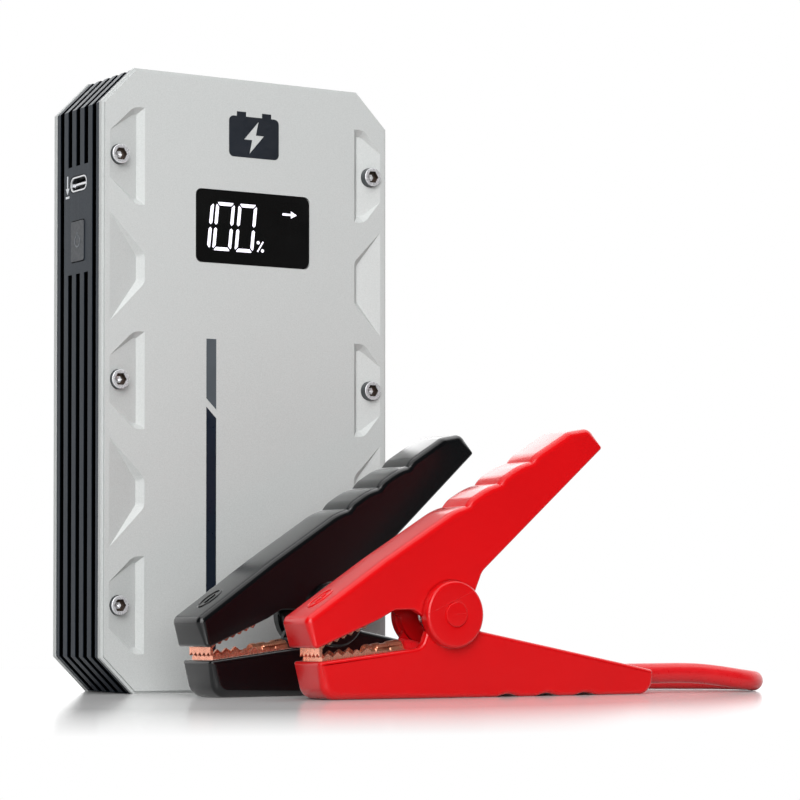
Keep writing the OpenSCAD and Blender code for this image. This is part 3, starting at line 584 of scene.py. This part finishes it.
def polarity_mesh(name, positive):
    """A raised oval with a plus or a minus, on the upper arm's top face near its nose."""
    mesh = bmesh.new()
    slope = math.atan2(TOP_BEND[1] - NOSE_TOP[1], TOP_BEND[0] - NOSE_TOP[0])
    centre_x = -41.6
    centre = Vector((centre_x, NOSE_TOP[1] + (centre_x - NOSE_TOP[0]) * math.tan(slope)))
    rise, root = 0.3, -0.2

    def spot(u, v, up):
        return mesh.verts.new(((centre.x + u * math.cos(slope) - up * math.sin(slope)) * MM, v * MM,
                               (centre.y + u * math.sin(slope) + up * math.cos(slope)) * MM))

    def band(inner, outer, count):
        rows = [[spot(*p, up) for p in line] for line, up in (
            (outer, root), (outer, rise * 0.5), (mix(outer, inner, 0.3), rise),
            (mix(inner, outer, 0.3), rise), (inner, rise * 0.5), (inner, root))]
        for a, b in zip(rows, rows[1:] + rows[:1]):
            for i in range(count):
                j = (i + 1) % count
                mesh.faces.new((a[i], a[j], b[j], b[i]))

    def mix(a, b, share):
        return [(p[0] * (1 - share) + q[0] * share, p[1] * (1 - share) + q[1] * share) for p, q in zip(a, b)]

    turns = [2 * math.pi * k / 40 for k in range(40)]
    band([(4.4 * math.cos(t), 2.1 * math.sin(t)) for t in turns],
         [(5.0 * math.cos(t), 2.65 * math.sin(t)) for t in turns], 40)
    bars = [(2.3, 0.32)] + ([(0.38, 1.35)] if positive else [])
    chamfer = 0.1

    def corners(w, h):
        return (-w, -h), (w, -h), (w, h), (-w, h)

    for w, h in bars:
        low = [spot(x, y, root) for x, y in corners(w, h)]
        mid = [spot(x, y, rise * 0.6) for x, y in corners(w, h)]
        top = [spot(x, y, rise) for x, y in corners(w - chamfer, h - chamfer)]
        for a, b in ((low, mid), (mid, top)):
            for i in range(4):
                j = (i + 1) % 4
                mesh.faces.new((a[i], a[j], b[j], b[i]))
        mesh.faces.new(top)
        mesh.faces.new(low[::-1])
    return as_mesh(mesh, name)


def ridge_mesh(name, lines, y, height=0.07, half=0.11):
    """Thin raised mould lines on a face that looks along -Y, from (x, z) to (x, z) about the pivot."""
    mesh = bmesh.new()
    for a, b in lines:
        a, b = Vector(a), Vector(b)
        side = unit(Vector((a.y - b.y, b.x - a.x))) * half
        feet = [mesh.verts.new((p.x * MM, (y + 0.1) * MM, (p.y + PIVOT_Z) * MM))
                for p in (a - side, b - side, b + side, a + side)]
        top = [mesh.verts.new((p.x * MM, (y - height) * MM, (p.y + PIVOT_Z) * MM)) for p in (a, b)]
        mesh.faces.new((feet[0], feet[1], top[1], top[0]))
        mesh.faces.new((feet[2], feet[3], top[0], top[1]))
        mesh.faces.new((feet[1], feet[2], top[1]))
        mesh.faces.new((feet[3], feet[0], top[0]))
        mesh.faces.new(feet[::-1])
    return as_mesh(mesh, name)


def crimp_mesh(name):
    """The crimped copper sleeve: a flared ring, a pressed waist, and a folded seam along it."""
    back, tilt, rise = 13.5, -7.6, 15
    flare = [(0, -27), (1.9, -27), (2.0, -26.2), (2.7, -26.2), (3.0, -26.0), (3.1, -25.6), (3.1, -24.9),
             (2.85, -24.6)]
    waist = [(2.75, -23.6), (2.95, -23.2), (2.95, -21.2), (2.6, -20.6), (2.6, -18.6), (2.95, -18.0)]
    foot = [(3.0, -15.0), (2.85, -14.2), (2.6, -13.6), (0, -back)]
    barrel = lathe(name, flare + waist + foot, 40)
    fold = [(-23.4, 2.2), (-14.4, 2.2), (-14.4, 3.25), (-14.9, 3.5), (-23.0, 3.5), (-23.4, 3.25)]
    seam = soft_prism("seam", [Vector(p) for p in fold], -0.7, 0.7, 0.3, 3)
    seam.transform(Matrix.Rotation(math.radians(52), 4, "X"))
    barrel.transform(Matrix.Rotation(math.radians(-90), 4, "Z"))
    made = cut(barrel, seam, join=True)
    made.transform(Matrix.Translation((back * MM, 0, 0)))
    made.transform(Matrix.Rotation(math.radians(tilt), 4, "Y"))
    made.transform(Matrix.Translation((-back * MM, 0, rise * MM)))
    return made


def low_edge(p):
    """The radius of the lower arm's long edges at a point of its outline: larger under the nose."""
    nose = share_of((-33 - p.x) / 8.0) * share_of((11.6 - p.y) / 3.0)
    usual, more = 1.1, 1.3
    return usual + more * nose


def lower_arm_mesh(name):
    """The lower arm: a long tray with finger waves below and a saddle for the hub, hollow above."""
    outline = rounded([(-46.7, 11.3, 1), (-44.4, 0, 5), (76.6, 0, 5), (77, 7.6, 1), (69, 9.2, 0),
                       (11.9, 20.2, 1), (0, 24, 0), (-8.6, 20.4, 0), (-10.4, 15.6, 3), (-13.8, 15, 0)])
    at = next(i for i, p in enumerate(outline) if p.x > 60 and p.y < 0.2)
    outline = outline[:at] + waves((14, 0), (58, 0), 3, 0.9, 0.7) + outline[at:]
    arm = soft_prism(name, outline, -ARM_Y, ARM_Y, low_edge, 8)
    saddle_r, saddle_y = HUB_R - 0.4, 9
    saddle = lathe("saddle", [(0, -saddle_y), (saddle_r, -saddle_y), (saddle_r, saddle_y), (0, saddle_y)])
    saddle.transform(PIVOT_UP)
    channel = soft_prism("channel", [Vector(p) for p in ((-44.9, 30), (-44.3, 3), (90, 3), (90, 30))],
                         -SLOT_Y, SLOT_Y, 0)
    return cut(arm, saddle, channel)


def hub_disc_mesh(name, side):
    """One hub disc with its rounded rim and the raised middle."""
    inner, outer, boss = EAR_IN + 0.25, HUB_Y, HUB_Y + BOSS_RISE
    rim_r, boss_r, groove = 1.1, 0.3, 0.15
    profile = [(0, inner), (HUB_R, inner)] + arc(HUB_R - rim_r, outer - rim_r, rim_r, 0, 90)
    profile += [(4.6, outer), (4.0, outer - groove), (3.75, outer - groove)]
    profile += arc(3.45, boss - boss_r, boss_r, 0, 90, 3) + [(0, boss)]
    return lathe(name, [(r, side * y) for r, y in profile], 72)


def make_spring(colour, m):
    """The torsion spring in two pieces, so that its upper leg turns with the upper arm."""
    first, swing, r, half = 150, 1518, 4.2, 3.6
    upper_leg, lower_leg, lower_shift = 38.5, 27.6, 1
    steps, shared = 150, 10

    def coil(k):
        a = math.radians(first + swing * k / steps)
        return (r * math.cos(a), -half + 2 * half * k / steps, PIVOT_Z + r * math.sin(a))

    start, end = coil(0), coil(steps)
    a, b = math.radians(first), math.radians(first + swing)
    upper_tip = (start[0] + upper_leg * math.sin(a), start[1], start[2] - upper_leg * math.cos(a))
    lower_tip = (end[0] - lower_leg * math.sin(b), end[1] + lower_shift, end[2] + lower_leg * math.cos(b))
    steel = m["spring_steel"]
    turns = [coil(k) for k in range(steps + 1)]
    wound = tube(f"{colour}_spring_coil", turns + [lower_tip], WIRE_R, steel, False, 3)
    put(wound, colour, "pack", f"{colour}_spring")
    leg = tube(f"{colour}_spring_leg", [upper_tip] + turns[:shared], WIRE_R, steel, False, 3)
    put(leg, colour, f"{colour}_upper")


def make_clamp(colour, m):
    grip, lead = f"clamp_{colour}", f"lead_{colour}"
    finish = m[grip]
    upper = f"{colour}_upper"
    arm = place_mesh(f"{colour}_upper_shell", upper_arm_mesh("upper"), finish, 26, False)
    flat_sides(arm)
    put(arm, colour, upper, f"{colour}_upper_arm")
    low = place_mesh(f"{colour}_lower_shell", lower_arm_mesh("lower"), finish, 26, False)
    flat_sides(low)
    put(low, colour, "pack", f"{colour}_lower_arm")
    for side, word in ((-1, "near"), (1, "far")):
        disc = hub_disc_mesh("disc", side)
        disc.transform(PIVOT_UP)
        put(place_mesh(f"{colour}_hub_{word}", disc, finish), colour, "pack")
    mark = place_mesh(f"{colour}_polarity", polarity_mesh("polarity", colour == "red"), finish, 40)
    put(mark, colour, upper)
    across_hub = ridge_mesh("lines", [((-10.0, 0.2), (6.1, 7.1))], -HUB_Y)
    put(place_mesh(f"{colour}_hub_line", across_hub, finish, 0), colour, "pack")
    across_boss = ridge_mesh("line", [((-0.5, 0.1), (3.3, 0.4))], -HUB_Y - BOSS_RISE)
    put(place_mesh(f"{colour}_boss_line", across_boss, finish, 0), colour, "pack")
    sleeve = place_mesh(f"{colour}_crimp_sleeve", crimp_mesh("crimp"), m["crimp_copper"])
    put(sleeve, colour, "pack", f"{colour}_crimp")
    tail = tube(f"{colour}_inner_lead", TAIL_ROUTE, LEAD_D / 2, m[lead])
    put(tail, colour, "pack", f"{colour}_lead_tail")


# Pack

HEAD_R, HEAD_H, HEAD_SEAT = 3.1, 3.0, 1.7111
SHANK_R, SHANK_L = 1.45, 9.0
SOCKET_R = 2.1
SCREW_X, SCREW_ZS = 46.9, (28.2, 100.0, 171.8)


def screw_mesh():
    """One cap screw, the head towards -Y, with a hexagon socket and a drilled cone in its floor."""
    edge = 0.32
    profile = [(0, SHANK_L), (SHANK_R - 0.15, SHANK_L), (SHANK_R, SHANK_L - 0.2), (SHANK_R, 0.0),
               (HEAD_R - 0.1, 0.0), (HEAD_R, -0.1)]
    profile += arc(HEAD_R - edge, edge - HEAD_H, edge, 0, -90)
    profile += [(2.3, -HEAD_H), (0, -HEAD_H)]
    head = lathe("screw", profile, 56)
    tool = bmesh.new()
    rims = []
    for down, r in ((-0.5, 2.62), (0.2, SOCKET_R), (1.9, SOCKET_R), (2.0, 1.2)):
        y = down - HEAD_H
        rims.append([tool.verts.new((r * math.cos(a) * MM, y * MM, r * math.sin(a) * MM))
                     for a in (math.pi * k / 3 for k in range(6))])
    tip = tool.verts.new((0, (-HEAD_H + 2.6) * MM, 0))
    for a, b in zip(rims, rims[1:]):
        for i in range(6):
            tool.faces.new((a[i], a[(i + 1) % 6], b[(i + 1) % 6], b[i]))
    for i in range(6):
        tool.faces.new((rims[-1][i], rims[-1][(i + 1) % 6], tip))
    tool.faces.new(rims[0])
    return cut(head, as_mesh(tool, "socket"))


def make_screws(m):
    """The twelve cap screws, as one piece on each plate; the rear ones are turned and mirrored."""
    one = screw_mesh()
    for word in ("front", "rear"):
        rear = word == "rear"
        mesh = bmesh.new()
        for side in (-1, 1):
            for z in SCREW_ZS:
                copy = one.copy()
                if rear:
                    copy.transform(Matrix.Rotation(math.radians(7 * side + z), 4, "Y"))
                place = Vector((side * SCREW_X, HEAD_SEAT - PACK_HALF_D, z)) * MM
                copy.transform(Matrix.Translation(place))
                mesh.from_mesh(copy)
        if rear:
            bmesh.ops.scale(mesh, vec=(1, -1, 1), verts=mesh.verts)
        data = as_mesh(mesh, word)
        screws = place_mesh(f"{word}_cap_screws", data, m["screw_steel"], 28)
        data.materials.append(m["socket_brown"])
        data.materials.append(m["head_side_painted_shade"])
        for face in data.polygons:
            off_x = min(abs(face.center.x / MM - side * SCREW_X) for side in (-1, 1))
            off_z = min(abs(face.center.z / MM - z) for z in SCREW_ZS)
            from_axis = math.hypot(off_x, off_z)
            depth = abs(face.center.y) / MM
            # Painted shade: the walls of each hex socket take the dark brown.
            in_shaded_socket = 1.0 < from_axis < SOCKET_R - 0.05 and 16.9 < depth < 19.3
            # Painted shade: the side faces of each head take the dark steel.
            on_shaded_side = from_axis > HEAD_R - 0.2 and abs(face.normal.y) < 0.3
            if in_shaded_socket:
                face.material_index = 1
            elif on_shaded_side:
                face.material_index = 2
        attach(screws, "pack")
        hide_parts(f"{word}_screws")


def finish_nodes(m):
    """Gives every carried-over node its material, and the listed ones small rounded edges."""
    slots = {s["node"]: s["material_slot"] for s in frame["record"]["subparts"]}
    edges = {"front_plate": 0.35, "rear_plate": 0.35, "side_frame": 0.4, "power_button": 0.2,
             "usb_c_port": 0.15, "usb_a_port": 0.15, "output_socket": 0.3, "port_cover": 0.4,
             "plug_housing": 0.6, "plug_pins": 0.3,
             "display_lens": 0.12, "red_lower_jaw": 0.12, "red_upper_jaw": 0.12,
             "black_lower_jaw": 0.12, "black_upper_jaw": 0.12}
    for name, obj in frame["nodes"].items():
        obj.data.materials.clear()
        obj.data.materials.append(m[slots[name]])
        if name in edges:
            round_edges(obj, edges[name])


# Floor and light

def make_stage():
    """A pale floor, a little glossy round the object and plain white to the camera further out.
    It is darker for the light that it throws back on the object."""
    n = Nodes("floor")
    out = n.tree.nodes["Material Output"]
    path = n.add("LightPath").outputs
    seen = path["Is Camera Ray"]
    tone = n.blend(n.between(n.noise(3, 2), 0, 1), (0.70, 0.70, 0.70, 1), (0.73, 0.73, 0.73, 1))
    n.set(Base_Color=n.blend(path["Is Diffuse Ray"], tone, (0.45, 0.45, 0.45, 1)), Roughness=0.12,
          Specular_IOR_Level=0.12)
    flat = n.add("VectorMath", operation="MULTIPLY")
    n.feed(n.place, flat.inputs[0])
    flat.inputs[1].default_value = (1, 1, 0)
    away = n.add("VectorMath", operation="LENGTH")
    n.feed(flat.outputs[0], away.inputs[0])
    far = n.between(away.outputs["Value"], 0, 1, 0.17, 0.33)
    white = n.add("Emission")
    white.inputs["Color"].default_value = (1, 1, 1, 1)
    mixed = n.add("MixShader")
    n.feed(n.maths("MULTIPLY", far, seen), mixed.inputs[0])
    n.feed(n.shader.outputs[0], mixed.inputs[1])
    n.feed(white.outputs[0], mixed.inputs[2])
    n.feed(mixed.outputs[0], out.inputs["Surface"])
    mesh = bpy.data.meshes.new("floor")
    reach, sides = 6, 48
    turns = [2 * math.pi * k / sides for k in range(sides)]
    rim = [(reach * math.cos(a), reach * math.sin(a), 0) for a in turns]
    mesh.from_pydata(rim, [], [tuple(range(sides))])
    place_mesh("floor", mesh, n.material, 0)


def area_light(name, place, target, size, power):
    data = bpy.data.lights.new(name, "AREA")
    data.shape = "RECTANGLE"
    data.size, data.size_y = size
    data.energy = power
    lamp = bpy.data.objects.new(name, data)
    scene.collection.objects.link(lamp)
    lamp.location = place
    lamp.rotation_euler = (Vector(target) - Vector(place)).to_track_quat("-Z", "Y").to_euler()


def make_light():
    """Plain white for the camera. For the object, a bright studio wall behind it and a dim room in front,
    both weaker for diffuse light, and four area lights."""
    world = bpy.data.worlds.new("studio")
    scene.world = world
    world.use_nodes = True
    tree = world.node_tree
    back = tree.nodes["Background"]

    def add(kind, **values):
        node = tree.nodes.new("ShaderNode" + kind)
        for key, value in values.items():
            setattr(node, key, value)
        return node

    way = add("VectorMath", operation="DOT_PRODUCT")
    tree.links.new(add("TexCoord").outputs["Generated"], way.inputs[0])
    way.inputs[1].default_value = (0.53, 0.85, 0.0)
    wall = add("MapRange")
    tree.links.new(way.outputs["Value"], wall.inputs[0])
    for key, value in (("From Min", -0.15), ("From Max", 0.35), ("To Min", 0.015), ("To Max", 1.5)):
        wall.inputs[key].default_value = value
    path = add("LightPath").outputs
    soft = add("Math", operation="MULTIPLY_ADD")
    tree.links.new(path["Is Diffuse Ray"], soft.inputs[0])
    soft.inputs[1].default_value = -0.75
    soft.inputs[2].default_value = 1.0
    dim = add("Math", operation="MULTIPLY")
    tree.links.new(wall.outputs[0], dim.inputs[0])
    tree.links.new(soft.outputs[0], dim.inputs[1])
    level = add("Mix", data_type="FLOAT")
    tree.links.new(path["Is Camera Ray"], level.inputs[0])
    tree.links.new(dim.outputs[0], level.inputs[2])
    level.inputs[3].default_value = 1.0
    back.inputs[0].default_value = (1, 1, 1, 1)
    tree.links.new(level.outputs[0], back.inputs[1])
    area_light("key", (-0.8, -1.15, 1.1), (0, 0, 0.08), (0.9, 0.9), 12)
    area_light("front", (-1.0, -1.7, 0.55), (0, 0, 0.09), (1.8, 1.2), 29.3)
    area_light("above", (0.1, -0.2, 1.4), (0, 0, 0), (1.8, 1.4), 12)
    area_light("behind", (0.42, 1.3, 0.95), (0, 0, 0.1), (0.8, 0.55), 1.8)
    scene.view_settings.view_transform = "Standard"


make_camera()
materials = make_materials()
make_leads(materials)
for clamp in ("red", "black"):
    make_clamp(clamp, materials)
    make_spring(clamp, materials)
make_screws(materials)
finish_nodes(materials)
make_stage()
make_light()
